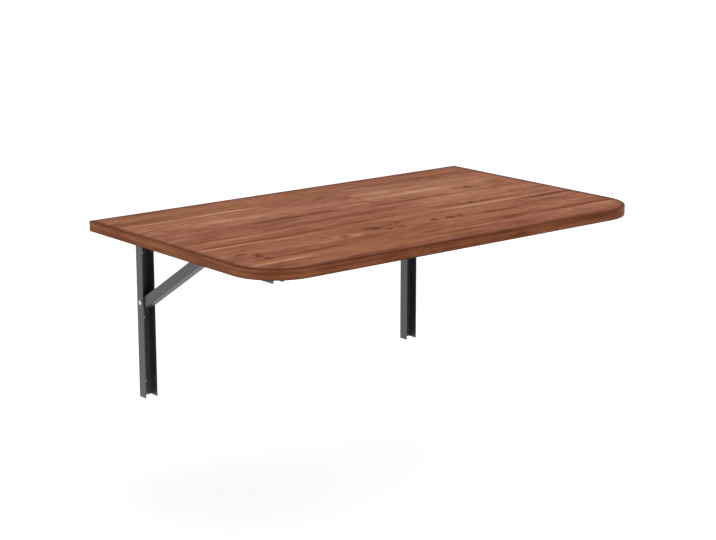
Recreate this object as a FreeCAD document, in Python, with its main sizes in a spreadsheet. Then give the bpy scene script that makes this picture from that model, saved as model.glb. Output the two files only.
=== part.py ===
"""Wall mounted drop leaf table.

A board hangs on two folding brackets. In each bracket a U-channel arm turns on a rivet at the top of a
U-channel wall rail, and a U-channel brace, bolted in the rail lower down, holds the arm up. The three
channels nest: the arm fits between the rail's flanges and the brace between the arm's. A nylon sleeve
on the brace's end runs along the inside of the arm, and a sprung release lever behind it hooks on a
catch in the arm.

Frame, in millimetres: X runs right along the wall, -Y out from the wall, Z up. The origin is on the
wall's surface, midway between the two middle screw holes of the rails. The table is folded out.
"""
import FreeCAD, Part
import math
import os
import re
import Sketcher

SIZES = {
    # board
    "board_width": 1000,
    "board_depth": 600,
    "board_thick": 22,
    "corner_radius": 100,
    "band_thick": 2,
    "band_round": 1.5,
    "board_wall_gap": 20,
    # wall rails
    "rail_inset": 135,
    "rail_width": 30,
    "rail_depth": 24,
    "rail_length": 375,
    "rail_wall": 1.5,
    "rail_top_gap": 4,
    "wall_hole_pitch": 140,
    "wall_hole_inset": 64,
    "wall_hole_radius": 2.5,
    "wall_hole_sink": 1,
    # channels
    "bend_inside": 0.6,
    "side_gap": 0.3,
    # arms, measured from the hinge axis
    "arm_length": 467,
    "arm_depth": 42,
    "arm_wall": 1.5,
    "arm_front_round": 3,
    "hinge_edge": 8,
    "hinge_reach": 12,
    "hinge_radius": 4,
    "hinge_head_radius": 6.5,
    "hinge_head_height": 2.6,
    "notch_gap": 2,
    # braces, measured from the brace pivot
    "pivot_drop": 136,
    "pivot_reach": 16,
    "pivot_edge": 7,
    "brace_length": 305,
    "brace_depth": 21,
    "brace_wall": 1.5,
    "nose_round": 4,
    # glide on the brace's end
    "glide_edge": 6,
    "glide_radius": 6.7,
    "glide_gap": 0.3,
    "glide_length": 16,
    "glide_pin_radius": 3,
    # pivot bolts, nuts and washers
    "bolt_radius": 3,
    "bolt_flats": 10,
    "bolt_head": 3,
    "bolt_spare": 7,
    "nut_height": 4.4,
    "nut_collar": 1.8,
    "washer_radius": 6,
    "washer_gap": 0.1,
    "running_gap": 0.1,
    # release levers and catches
    "tooth_reach": 24,
    "tooth_rise": 0.7,
    "lever_reach": 98,
    "lever_tilt": 2.5,
    "lever_plate": 2,
    "lever_wall": 1.5,
    "lever_gap": 0.2,
    "lever_hub": 5.5,
    "lever_round": 5,
    "lip_length": 10,
    "lip_rise": 2,
    "heel_width": 4,
    "catch_thick": 2.5,
    "catch_leg": 22,
    "catch_play": 1.3,
    "catch_overlap": 0.5,
    "catch_gap": 0.5,
    # release springs
    "spring_reach": 45,
    "spring_radius": 4,
    "spring_wire": 0.5,
    "spring_turns": 6,
    "spring_seat": 0.3,
    # wood screws through the arms
    "screw_radius": 2,
    "screw_length": 16,
    "screw_head_radius": 4,
    "screw_head": 2.6,
    "screw_point": 4,
    "screw_gap": 0.2,
    "pilot_gap": 0.05,
    "screw_first": 30,
    "screw_catch_gap": 15,
    "screw_front_inset": 8,
}

# Worked out from the sizes, in this order. An arm's own height and reach are counted from the hinge axis.
DERIVED = {
    "rail_spacing": "board_width - 2 * rail_inset",
    "rail_inside": "rail_width - 2 * rail_wall",
    "arm_width": "rail_inside - 2 * side_gap",
    "arm_inside": "arm_width - 2 * arm_wall",
    "brace_width": "arm_inside - 2 * side_gap",
    "brace_inside": "brace_width - 2 * brace_wall",
    "lever_width": "brace_inside - 2 * lever_gap",
    "lever_inside": "lever_width - 2 * lever_wall",
    "rail_top": "wall_hole_pitch + wall_hole_inset",
    "rail_bottom": "rail_top - rail_length",
    "board_bottom": "rail_top + rail_top_gap",
    "hinge_height": "board_bottom - arm_depth + hinge_edge",
    "pivot_height": "hinge_height - pivot_drop",
    "web_inside": "arm_depth - hinge_edge - arm_wall",
    "glide_rise": "web_inside - glide_radius - glide_gap",
    "pin_offset": "pivot_edge - glide_edge",
    "brace_reach": "sqrt(brace_length ^ 2 + pin_offset ^ 2)",
    "brace_skew": "atan(pin_offset / brace_length)",
    "brace_angle": "asin((pivot_drop + glide_rise) / brace_reach) / 1 deg - brace_skew",
    "pivot_ahead": "pivot_reach - hinge_reach",
    "glide_run": "pivot_ahead + brace_reach * cos(brace_angle + brace_skew)",
    "web_drop": "brace_depth - glide_edge",
    "tooth_height": "glide_radius + tooth_rise",
    "tooth_back": "tooth_reach * cos(brace_angle) + tooth_height * sin(brace_angle)",
    "plate_slant": "lever_plate / cos(brace_angle)",
    "tooth_low": "tooth_height * cos(brace_angle) - tooth_reach * sin(brace_angle) - plate_slant",
    "catch_run": "glide_run - tooth_back + catch_play",
    "catch_bottom": "glide_rise + tooth_low - catch_overlap",
    "screw_pitch": "(catch_run - catch_leg - screw_catch_gap - screw_first) / 2",
    "spring_low": "brace_wall - web_drop + spring_seat",
    "spring_rise": "(spring_reach - tooth_reach) * tan(lever_tilt)",
    "spring_high": "tooth_height + spring_rise - lever_plate - spring_seat",
    "hex_radius": "bolt_flats / 2 / cos(30)",
}

CUT_MARGIN = 1.0          # how far a cut runs past the solid, mm
SIDES = {"left": -1, "right": 1}

doc = FreeCAD.newDocument("drop_leaf_table")


# ---------------------------------------------------------------- sizes

def make_sheet():
    """The spreadsheet that holds every driving dimension under its own alias."""
    table = doc.addObject("Spreadsheet::Sheet", "Sizes")
    for row, (alias, number) in enumerate(SIZES.items(), start=1):
        table.set(f"A{row}", alias)
        table.set(f"B{row}", str(number))
        table.setAlias(f"B{row}", alias)
    doc.recompute()
    return table


def full(expression):
    """The expression with each size's name led by the object that holds it."""
    def lead(match):
        word = match.group(0)
        if word in SIZES:
            return "Sizes." + word
        return "Derived." + word if word in DERIVED else word
    return re.sub(r"[a-z_]+", lead, str(expression))


def make_derived():
    """The sizes that follow from the driving ones, held by expressions."""
    holder = doc.addObject("App::VarSet", "Derived")
    for name, expression in DERIVED.items():
        holder.addProperty("App::PropertyFloat", name, "Derived")
        holder.setExpression(name, full(expression))
        doc.recompute()
    return holder


sheet = make_sheet()
derived = make_derived()


def value(expression):
    """The expression's number at the present sizes."""
    return float(sheet.evalExpression(full(expression)))


def bind(item, prop, expression):
    item.setExpression(prop, full(expression))


# ---------------------------------------------------------------- sketches and features

def new_body(label, x="0", y="0", z="0", axis=(0, 0, 1), angle="0"):
    """A body that stands at (x, y, z), turned about the axis."""
    body = doc.addObject("PartDesign::Body", label)
    body.Label = label
    body.Placement = FreeCAD.Placement(FreeCAD.Vector(), FreeCAD.Rotation(FreeCAD.Vector(*axis), 1.0))
    for prop, expression in zip(("Base.x", "Base.y", "Base.z", "Rotation.Angle"), (x, y, z, angle)):
        bind(body, "Placement." + prop, expression)
    return body


def new_sketch(body, role, offset="0"):
    """A sketch on one of the body's own planes, moved along the plane's normal by the offset."""
    sketch = body.newObject("Sketcher::SketchObject", f"{body.Label}_{len(body.Group)}")
    plane = next(item for item in body.Origin.OriginFeatures if item.Role == role)
    sketch.AttachmentSupport = [(plane, "")]
    sketch.MapMode = "FlatFace"
    bind(sketch, "AttachmentOffset.Base.z", offset)
    return sketch


def hold(sketch, kind, geometry, point, expression):
    """Holds one coordinate of a sketch point at the expression."""
    index = sketch.addConstraint(Sketcher.Constraint(kind, -1, 1, geometry, point, value(expression)))
    bind(sketch, f"Constraints[{index}]", expression)


def outline(sketch, start, *steps):
    """A closed outline from start. A step is (x, y) for a line there, or (x, y, cx, cy, turn) for an arc
    about (cx, cy), with turn "ccw" or "cw". The last point joins the start with a line."""
    corners = [start] + [step[:2] for step in steps]
    spots = [(value(x), value(y)) for x, y in corners]
    first = sketch.GeometryCount
    ends = []
    free = "xy"
    for number, step in enumerate(steps + (start,)):
        geometry = first + number
        here = spots[number]
        there = spots[(number + 1) % len(spots)]
        arc = len(step) == 5
        if arc:
            centre = (value(step[2]), value(step[3]))
            angles = [math.atan2(spot[1] - centre[1], spot[0] - centre[0]) for spot in (here, there)]
            if step[4] == "cw":
                angles.reverse()
            radius = math.dist(centre, here)
            round_line = Part.Circle(FreeCAD.Vector(*centre, 0), FreeCAD.Vector(0, 0, 1), radius)
            sketch.addGeometry(Part.ArcOfCircle(round_line, *angles), False)
            ends.append((2, 1) if step[4] == "cw" else (1, 2))
            hold(sketch, "DistanceX", geometry, 3, step[2])
            hold(sketch, "DistanceY", geometry, 3, step[3])
        else:
            sketch.addGeometry(Part.LineSegment(FreeCAD.Vector(*here, 0), FreeCAD.Vector(*there, 0)), False)
            ends.append((1, 2))
        x, y = corners[number]
        if "x" in free:
            hold(sketch, "DistanceX", geometry, ends[number][0], x)
        if "y" in free:
            hold(sketch, "DistanceY", geometry, ends[number][0], y)
        free = "xy"
        if arc:
            free = "y" if abs(there[0] - centre[0]) > abs(there[1] - centre[1]) else "x"
    for number, (_, end) in enumerate(ends):
        after = (number + 1) % len(ends)
        link = Sketcher.Constraint("Coincident", first + number, end, first + after, ends[after][0])
        sketch.addConstraint(link)


def circle(sketch, x, y, radius):
    geometry = sketch.addGeometry(
        Part.Circle(FreeCAD.Vector(value(x), value(y), 0), FreeCAD.Vector(0, 0, 1), value(radius)), False)
    hold(sketch, "DistanceX", geometry, 3, x)
    hold(sketch, "DistanceY", geometry, 3, y)
    index = sketch.addConstraint(Sketcher.Constraint("Radius", geometry, value(radius)))
    bind(sketch, f"Constraints[{index}]", radius)


def rectangle(sketch, left, right, low, high):
    outline(sketch, (left, low), (right, low), (right, high), (left, high))


def hexagon(sketch, radius):
    corners = [(f"({radius}) * cos({turn})", f"({radius}) * sin({turn})") for turn in range(0, 360, 60)]
    outline(sketch, *corners)


def channel(sketch, width, web, edge, wall, opens):
    """A U section across X, its web's outer face at web and its open edges at edge. It opens up (1) or
    down (-1)."""
    half = f"({width}) / 2"
    outer = f"(bend_inside + {wall})"
    bend = f"({web} + {opens} * {outer})"
    inner = f"({web} + {opens} * {wall})"
    out_turn, in_turn = ("ccw", "cw") if opens > 0 else ("cw", "ccw")
    outline(
        sketch,
        (f"-{half}", edge),
        (f"-{half}", bend),
        (f"{outer} - {half}", web, f"{outer} - {half}", bend, out_turn),
        (f"{half} - {outer}", web),
        (half, bend, f"{half} - {outer}", bend, out_turn),
        (half, edge),
        (f"{half} - {wall}", edge),
        (f"{half} - {wall}", bend),
        (f"{half} - {outer}", inner, f"{half} - {outer}", bend, in_turn),
        (f"{outer} - {half}", inner),
        (f"{wall} - {half}", bend, f"{outer} - {half}", bend, in_turn),
        (f"{wall} - {half}", edge),
    )


def corner(sketch, cx, cy, radius, side_x, side_y):
    """What rounds off the corner that lies towards (side_x, side_y) from (cx, cy)."""
    far_x = f"{cx} + {side_x} * ({radius} + {CUT_MARGIN})"
    far_y = f"{cy} + {side_y} * ({radius} + {CUT_MARGIN})"
    outline(
        sketch,
        (f"{cx} + {side_x} * {radius}", cy),
        (cx, f"{cy} + {side_y} * {radius}", cx, cy, "ccw" if side_x * side_y > 0 else "cw"),
        (cx, far_y),
        (far_x, far_y),
        (far_x, cy),
    )


def pad(body, sketch, length, symmetric=False):
    feature = body.newObject("PartDesign::Pad", f"{sketch.Name}_pad")
    feature.Profile = (sketch, [""])
    feature.SideType = "Symmetric" if symmetric else "One side"
    bind(feature, "Length", length)
    doc.recompute()
    return feature


def pocket(body, sketch, length, symmetric=False, forward=False):
    """Cuts the sketch's outlines, against its normal unless forward, and stops if nothing is cut."""
    before = body.Shape.Volume
    feature = body.newObject("PartDesign::Pocket", f"{sketch.Name}_pocket")
    feature.Profile = (sketch, [""])
    feature.SideType = "Symmetric" if symmetric else "One side"
    feature.Reversed = forward
    bind(feature, "Length", length)
    doc.recompute()
    if body.Shape.Volume >= before:
        raise RuntimeError(f"{feature.Label} cuts nothing")
    return feature


def turn(body, sketch):
    """Turns the sketch's half profile about its vertical axis."""
    feature = body.newObject("PartDesign::Revolution", f"{sketch.Name}_turned")
    feature.Profile = (sketch, [""])
    feature.ReferenceAxis = (sketch, ["V_Axis"])
    feature.Angle = 360
    doc.recompute()
    return feature


def groove(body, sketch):
    """Cuts the sketch's half profile, turned about its vertical axis."""
    before = body.Shape.Volume
    feature = body.newObject("PartDesign::Groove", f"{sketch.Name}_groove")
    feature.Profile = (sketch, [""])
    feature.ReferenceAxis = (sketch, ["V_Axis"])
    feature.Angle = 360
    doc.recompute()
    if body.Shape.Volume >= before:
        raise RuntimeError(f"{feature.Label} cuts nothing")
    return feature


def dress(body, kind, size_name, size, wanted):
    """A Fillet or Chamfer on the body's edges that pass the test."""
    last = body.Tip
    names = [f"Edge{number}" for number, edge in enumerate(last.Shape.Edges, start=1) if wanted(edge)]
    feature = body.newObject("PartDesign::" + kind, f"{body.Label}_{kind.lower()}")
    feature.Base = (last, names)
    bind(feature, size_name, size)
    doc.recompute()
    return feature


def same(first, second):
    return abs(first - second) < 1e-4


# ---------------------------------------------------------------- board

def board_place():
    return {"y": "-board_wall_gap", "z": "board_bottom"}


def screw_runs():
    """How far out from the hinge axis each wood screw of an arm lies."""
    row = [f"screw_first + {number} * screw_pitch" for number in range(3)]
    return row + ["arm_length - screw_front_inset"]


def board_edge(inset, back, reverse=False):
    """The board's outline inside the edge band, from back left round the front, or the other way."""
    half = f"board_width / 2 - {inset}"
    front = f"{inset} - board_depth"
    turn_x = "board_width / 2 - corner_radius"
    turn_y = "corner_radius - board_depth"
    if reverse:
        return [
            (half, back),
            (half, turn_y),
            (turn_x, front, turn_x, turn_y, "cw"),
            (f"-({turn_x})", front),
            (f"-({half})", turn_y, f"-({turn_x})", turn_y, "cw"),
            (f"-({half})", back),
        ]
    return [
        (f"-({half})", back),
        (f"-({half})", turn_y),
        (f"-({turn_x})", front, f"-({turn_x})", turn_y, "ccw"),
        (turn_x, front),
        (half, turn_y, turn_x, turn_y, "ccw"),
        (half, back),
    ]


def table_board():
    """The laminated board inside its edge bands, with the arms' pilot holes in its underside."""
    body = new_body("table_board", **board_place())
    sketch = new_sketch(body, "XY_Plane")
    outline(sketch, *board_edge("band_thick", "-band_thick"))
    pad(body, sketch, "board_thick")
    holes = new_sketch(body, "XY_Plane")
    for side in SIDES.values():
        for run in screw_runs():
            circle(holes, f"{side} * rail_spacing / 2", f"board_wall_gap - hinge_reach - ({run})",
                   "screw_radius + pilot_gap")
    pocket(body, holes, "screw_length - arm_wall + 1", forward=True)


def edge_band_front():
    """The band round the board's left, front and right edges."""
    body = new_body("edge_band_front", **board_place())
    sketch = new_sketch(body, "XY_Plane")
    outline(sketch, *board_edge("0", "0"), *board_edge("band_thick", "0", reverse=True))
    pad(body, sketch, "board_thick")
    half, depth, radius = value("board_width / 2"), value("board_depth"), value("corner_radius")

    def outer_rim(edge):
        box = edge.BoundBox
        if not (same(box.ZLength, 0) and (same(box.ZMin, 0) or same(box.ZMin, value("board_thick")))):
            return False
        if hasattr(edge.Curve, "Radius"):
            return same(edge.Curve.Radius, radius)
        at_side = same(box.XLength, 0) and same(abs(box.XMin), half)
        return at_side or (same(box.YLength, 0) and same(box.YMin, -depth))
    dress(body, "Fillet", "Radius", "band_round", outer_rim)


def edge_band_back():
    """The band on the board's back edge, between the ends of the front one."""
    body = new_body("edge_band_back", **board_place())
    sketch = new_sketch(body, "XY_Plane")
    half = "board_width / 2 - band_thick"
    rectangle(sketch, f"-({half})", half, "-band_thick", "0")
    pad(body, sketch, "board_thick")

    def back_rim(edge):
        box = edge.BoundBox
        return same(box.YMax, 0) and same(box.YMin, 0) and same(box.ZLength, 0)
    dress(body, "Fillet", "Radius", "band_round", back_rim)


# ---------------------------------------------------------------- brackets

def wall_rail(name, side):
    """A U channel that opens out from the wall, with three countersunk screw holes in its web."""
    body = new_body(f"wall_rail_{name}", x=f"{side} * rail_spacing / 2", z="rail_bottom")
    section = new_sketch(body, "XY_Plane")
    channel(section, "rail_width", "0", "-rail_depth", "rail_wall", -1)
    pad(body, section, "rail_length")
    pins = new_sketch(body, "YZ_Plane")
    circle(pins, "-hinge_reach", "hinge_height - rail_bottom", "hinge_radius + running_gap")
    circle(pins, "-pivot_reach", "pivot_height - rail_bottom", "bolt_radius + running_gap")
    pocket(body, pins, "2 * rail_width", symmetric=True)
    screws = new_sketch(body, "XZ_Plane")
    for number in range(3):
        height = f"rail_length - wall_hole_inset - {number} * wall_hole_pitch"
        circle(screws, "0", height, "wall_hole_radius")
    pocket(body, screws, "3 * rail_wall", symmetric=True)
    front = -value("rail_wall")

    def hole_mouth(edge):
        box = edge.BoundBox
        round_edge = hasattr(edge.Curve, "Radius") and same(edge.Curve.Radius, value("wall_hole_radius"))
        return round_edge and same(box.YMin, front) and same(box.YMax, front)
    dress(body, "Chamfer", "Size", "wall_hole_sink", hole_mouth)


def arm_place(side):
    """An arm's own frame: its hinge axis."""
    return {"x": f"{side} * rail_spacing / 2", "y": "-hinge_reach", "z": "hinge_height"}


def arm(name, side):
    """A U channel that opens down, notched to pass over the brace's pivot when it is folded."""
    body = new_body(f"arm_{name}", **arm_place(side))
    section = new_sketch(body, "XZ_Plane", offset="-hinge_edge")
    channel(section, "arm_width", "(arm_depth - hinge_edge)", "-hinge_edge", "arm_wall", -1)
    pad(body, section, "hinge_edge + arm_length")
    cuts = new_sketch(body, "YZ_Plane")
    corner(cuts, "0", "0", "hinge_edge", 1, -1)
    corner(cuts, "(arm_front_round - arm_length)", "(arm_front_round - hinge_edge)",
           "arm_front_round", -1, -1)
    radius = "(washer_radius + notch_gap)"
    mouth = f"-hinge_edge - {CUT_MARGIN}"
    outline(
        cuts,
        (f"{radius} - pivot_drop", mouth),
        (f"{radius} - pivot_drop", "pivot_ahead"),
        (f"-{radius} - pivot_drop", "pivot_ahead", "-pivot_drop", "pivot_ahead", "ccw"),
        (f"-{radius} - pivot_drop", mouth),
    )
    circle(cuts, "0", "0", "hinge_radius + running_gap")
    pocket(body, cuts, "2 * arm_width", symmetric=True)
    screws = new_sketch(body, "XY_Plane", offset="arm_depth - hinge_edge")
    for run in screw_runs():
        circle(screws, "0", f"-({run})", "screw_radius + screw_gap")
    pocket(body, screws, "2 * arm_wall", symmetric=True)


def brace(name, side):
    """A U channel with its web underneath, round about the pivot and at the nose that carries the glide."""
    body = new_body(f"brace_{name}", x=f"{side} * rail_spacing / 2", y="-pivot_reach", z="pivot_height",
                    axis=(1, 0, 0), angle="-brace_angle")
    section = new_sketch(body, "XZ_Plane", offset="-pivot_edge")
    channel(section, "brace_width", "(pivot_edge - brace_depth)", "pivot_edge", "brace_wall", 1)
    pad(body, section, "pivot_edge + brace_length + glide_edge")
    cuts = new_sketch(body, "YZ_Plane")
    corner(cuts, "0", "0", "pivot_edge", 1, 1)
    corner(cuts, "0", "(2 * pivot_edge - brace_depth)", "pivot_edge", 1, -1)
    corner(cuts, "-brace_length", "pin_offset", "glide_edge", -1, 1)
    corner(cuts, "(nose_round - brace_length - glide_edge)", "(pivot_edge - brace_depth + nose_round)",
           "nose_round", -1, -1)
    circle(cuts, "0", "0", "bolt_radius + running_gap")
    circle(cuts, "-brace_length", "pin_offset", "glide_pin_radius")
    pocket(body, cuts, "2 * brace_width", symmetric=True)


def hinge_rivet(name, side):
    """The rivet that an arm turns on, domed at both ends."""
    body = new_body(f"hinge_rivet_{name}", x=f"{side} * rail_spacing / 2 - rail_width / 2",
                    y="-hinge_reach", z="hinge_height", axis=(0, 1, 0), angle="90")
    sketch = new_sketch(body, "XZ_Plane")
    dome = "(hinge_head_radius ^ 2 + hinge_head_height ^ 2) / (2 * hinge_head_height)"
    near = f"{dome} - hinge_head_height"
    far = f"rail_width + hinge_head_height - {dome}"
    outline(
        sketch,
        ("0", "-hinge_head_height"),
        ("hinge_head_radius", "0", "0", near, "ccw"),
        ("hinge_radius", "0"),
        ("hinge_radius", "rail_width"),
        ("hinge_head_radius", "rail_width"),
        ("0", "rail_width + hinge_head_height", "0", far, "ccw"),
    )
    turn(body, sketch)


def pivot_side(side):
    """The frame of a brace's bolt and nut: on the rail's outer face, pointing in through the rail."""
    return {"x": f"{side} * (rail_spacing / 2 + rail_width / 2)", "y": "-pivot_reach",
            "z": "pivot_height", "axis": (0, 1, 0), "angle": f"{-90 * side}"}


def break_hexagon(body, level, side):
    """Turns off the hexagon's corners at one of its faces."""
    sketch = new_sketch(body, "XZ_Plane")
    flat = "bolt_flats / 2"
    far = f"hex_radius + {CUT_MARGIN}"
    slope = f"({far} - {flat}) * tan(30)"
    beyond = f"{level} + {side} * {CUT_MARGIN}"
    outline(sketch, (flat, level), (far, f"{level} - {side} * {slope}"), (far, beyond), (flat, beyond))
    groove(body, sketch)


def brace_bolt(name, side):
    """The hexagon bolt that a brace turns on."""
    body = new_body(f"brace_bolt_{name}", **pivot_side(side))
    head = new_sketch(body, "XY_Plane", offset="-bolt_head")
    hexagon(head, "hex_radius")
    pad(body, head, "bolt_head")
    break_hexagon(body, "-bolt_head", -1)
    shank = new_sketch(body, "XZ_Plane")
    tip = "rail_width + bolt_spare"
    outline(shank, ("0", "0"), ("bolt_radius", "0"), ("bolt_radius", f"{tip} - bolt_radius / 4"),
            ("bolt_radius * 3 / 4", tip), ("0", tip))
    turn(body, shank)


def brace_nut(name, side):
    """The locking nut on the inner end of the bolt."""
    body = new_body(f"brace_nut_{name}", **pivot_side(side))
    sketch = new_sketch(body, "XY_Plane", offset="rail_width")
    hexagon(sketch, "hex_radius")
    circle(sketch, "0", "0", "bolt_radius")
    pad(body, sketch, "nut_height")
    break_hexagon(body, "rail_width + nut_height", 1)
    collar = new_sketch(body, "XZ_Plane")
    low = "rail_width + nut_height"
    wide = "bolt_flats / 2 - nut_collar / 2"
    top = f"{low} + nut_collar"
    rounding = "nut_collar / 2"
    outline(collar, ("bolt_radius", low), (wide, low), (wide, f"{top} - {rounding}"),
            (f"{wide} - {rounding}", top, f"{wide} - {rounding}", f"{top} - {rounding}", "ccw"),
            ("bolt_radius", top))
    turn(body, collar)


def brace_washers(name, side):
    """Two washers that centre a brace between its rail's flanges."""
    body = new_body(f"brace_washers_{name}", x=f"{side} * rail_spacing / 2", y="-pivot_reach",
                    z="pivot_height", axis=(0, 1, 0), angle="90")
    sketch = new_sketch(body, "XZ_Plane")
    rectangle(sketch, "bolt_radius", "washer_radius", "brace_width / 2 + washer_gap", "rail_inside / 2")
    washer = turn(body, sketch)
    pair = body.newObject("PartDesign::Mirrored", f"{body.Label}_pair")
    pair.Originals = [washer]
    pair.MirrorPlane = (next(item for item in body.Origin.OriginFeatures if item.Role == "XY_Plane"), [""])
    body.Tip = pair
    doc.recompute()


# ---------------------------------------------------------------- glides, levers and catches

def glide_place(side, angle="0", axis=(1, 0, 0)):
    """The frame of a brace's glide pin."""
    return {"x": f"{side} * rail_spacing / 2", "y": "-hinge_reach - glide_run",
            "z": "hinge_height + glide_rise", "axis": axis, "angle": angle}


def glide_pin(name, side):
    """The pin across the brace's nose, flush with its flanges."""
    body = new_body(f"glide_pin_{name}", **glide_place(side, axis=(0, 1, 0), angle="90"))
    sketch = new_sketch(body, "XY_Plane")
    circle(sketch, "0", "0", "glide_pin_radius")
    pad(body, sketch, "brace_width", symmetric=True)


def glide_sleeve(name, side):
    """The nylon sleeve that runs along the inside of the arm, barrelled a little at its ends."""
    body = new_body(f"glide_sleeve_{name}", **glide_place(side, axis=(0, 1, 0), angle="90"))
    sketch = new_sketch(body, "XZ_Plane")
    half = "glide_length / 2"
    ease = "(glide_radius - glide_pin_radius) / 4"
    outline(
        sketch,
        ("glide_pin_radius", f"-{half}"),
        (f"glide_radius - {ease}", f"-{half}"),
        ("glide_radius", f"{ease} - {half}", f"glide_radius - {ease}", f"{ease} - {half}", "ccw"),
        ("glide_radius", f"{half} - {ease}"),
        (f"glide_radius - {ease}", half, f"glide_radius - {ease}", f"{half} - {ease}", "ccw"),
        ("glide_pin_radius", half),
    )
    turn(body, sketch)


def lever_top(reach):
    """How high the lever's plate lies over the glide pin, square to the brace."""
    return f"tooth_height + ({reach} - tooth_reach) * tan(lever_tilt)"


def release_lever(name, side):
    """A pressed lever on the glide pin: two cheeks with a heel that stops it on the brace's web, and a
    plate whose front edge hooks behind the arm's catch. Pressing its tail, where a lip is turned up for
    the finger, towards the brace frees it."""
    body = new_body(f"release_lever_{name}", **glide_place(side, angle="-brace_angle"))
    blank = new_sketch(body, "YZ_Plane")
    heel = "brace_wall - web_drop + lever_gap"
    taper = "lever_reach * 3 / 4"
    bend = "(lever_reach - lip_length)"
    outline(
        blank,
        ("lever_reach", f"{lever_top(bend)} + lip_rise"),
        (bend, lever_top(bend)),
        ("tooth_reach", "tooth_height"),
        ("0", "lever_hub"),
        ("-lever_hub", "0", "0", "0", "ccw"),
        ("-lever_hub", heel),
        ("heel_width - lever_hub", heel),
        ("lever_hub / 2", "-lever_hub"),
        (taper, f"{lever_top(taper)} - lever_plate"),
        (bend, f"{lever_top(bend)} - lever_plate"),
        ("lever_reach", f"{lever_top(bend)} + lip_rise - lever_plate"),
    )
    pad(body, blank, "lever_width", symmetric=True)
    inside = new_sketch(body, "YZ_Plane")
    end = f"(lever_reach + {CUT_MARGIN})"
    front = f"(-lever_hub - {CUT_MARGIN})"
    floor = f"{heel} - {CUT_MARGIN}"
    above = f"(lever_plate + {CUT_MARGIN})"
    edge = "(tooth_reach + lever_plate * tan(brace_angle))"
    outline(
        inside,
        (f"tooth_reach - {above} * tan(brace_angle)", f"tooth_height + {above}"),
        (edge, f"{lever_top(edge)} - lever_plate"),
        (end, f"{lever_top(end)} - lever_plate"),
        (end, floor),
        (front, floor),
        (front, f"tooth_height + {above}"),
    )
    pocket(body, inside, "lever_inside", symmetric=True)
    bore = new_sketch(body, "YZ_Plane")
    circle(bore, "0", "0", "glide_pin_radius + running_gap")
    pocket(body, bore, "2 * lever_width", symmetric=True)
    tail = new_sketch(body, "XY_Plane")
    for across in (-1, 1):
        corner(tail, f"({across} * (lever_width / 2 - lever_round))", "(lever_reach - lever_round)",
               "lever_round", across, 1)
    pocket(body, tail, "4 * tooth_height", symmetric=True)


def catch_plate(name, side):
    """A bent plate welded inside the arm, whose lip the lever hooks behind."""
    body = new_body(f"catch_plate_{name}", **arm_place(side))
    sketch = new_sketch(body, "YZ_Plane")
    bend = "catch_thick"
    out = "(catch_run + catch_thick)"
    outline(
        sketch,
        ("catch_leg - catch_run", "web_inside"),
        (f"{bend} - {out}", "web_inside"),
        (f"-{out}", f"web_inside - {bend}", f"{bend} - {out}", f"web_inside - {bend}", "ccw"),
        (f"-{out}", "catch_bottom"),
        ("-catch_run", "catch_bottom"),
        ("-catch_run", "web_inside - catch_thick"),
        ("catch_leg - catch_run", "web_inside - catch_thick"),
    )
    pad(body, sketch, "lever_inside - 2 * catch_gap", symmetric=True)


def latch_spring(name, side):
    """The coil spring between a brace's web and its lever."""
    along = "spring_reach * cos(brace_angle) + spring_low * sin(brace_angle)"
    rise = "spring_low * cos(brace_angle) - spring_reach * sin(brace_angle)"
    body = new_body(f"latch_spring_{name}", x=f"{side} * rail_spacing / 2",
                    y=f"{along} - hinge_reach - glide_run", z=f"hinge_height + glide_rise + {rise}",
                    axis=(1, 0, 0), angle="-brace_angle")
    sketch = new_sketch(body, "XZ_Plane")
    circle(sketch, "spring_radius - spring_wire", "spring_wire", "spring_wire")
    coil = body.newObject("PartDesign::AdditiveHelix", f"{body.Label}_coil")
    coil.Profile = (sketch, [""])
    coil.ReferenceAxis = (sketch, ["V_Axis"])
    coil.Mode = "height-turns-angle"
    bind(coil, "Height", "spring_high - spring_low - 2 * spring_wire")
    bind(coil, "Turns", "spring_turns")
    doc.recompute()


def screw_shape():
    """One pan head wood screw, pointing up, with its head's underside at height 0."""
    radius, length = value("screw_radius"), value("screw_length")
    head, head_radius = value("screw_head"), value("screw_head_radius")
    dome = (head_radius ** 2 + head ** 2) / (2 * head)
    half_way = math.asin(head_radius / dome) / 2
    shank = length - value("screw_point")
    spots = [(head_radius, 0), (radius, 0), (radius, shank), (0, length), (0, -head)]
    points = [FreeCAD.Vector(x, 0, z) for x, z in spots]
    middle = FreeCAD.Vector(dome * math.sin(half_way), 0, dome - head - dome * math.cos(half_way))
    edges = [Part.LineSegment(*pair).toShape() for pair in zip(points, points[1:])]
    edges.append(Part.Arc(points[-1], middle, points[0]).toShape())
    return Part.Face(Part.Wire(edges)).revolve(FreeCAD.Vector(), FreeCAD.Vector(0, 0, 1), 360)


def arm_screws(name, side):
    """The wood screws that hold an arm to the board."""
    screws = []
    for run in screw_runs():
        screw = screw_shape()
        screw.translate(FreeCAD.Vector(0, -value(run), 0))
        screws.append(screw)
    group = doc.addObject("Part::Feature", f"arm_screws_{name}")
    group.Label = f"arm_screws_{name}"
    group.Shape = Part.makeCompound(screws)
    place = arm_place(side)
    place["z"] = "hinge_height + web_inside"
    group.Placement = FreeCAD.Placement(FreeCAD.Vector(*(value(place[way]) for way in "xyz")),
                                        FreeCAD.Rotation())


# ---------------------------------------------------------------- the whole table

def build():
    table_board()
    edge_band_front()
    edge_band_back()
    for name, side in SIDES.items():
        for make in (wall_rail, arm, brace, hinge_rivet, brace_bolt, brace_nut, brace_washers, glide_pin,
                     glide_sleeve, release_lever, catch_plate, latch_spring, arm_screws):
            make(name, side)
    doc.recompute()


def pieces():
    """Every sub-part of the document."""
    return [item for item in doc.Objects
            if item.TypeId == "PartDesign::Body" or item.TypeId == "Part::Feature"]


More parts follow.
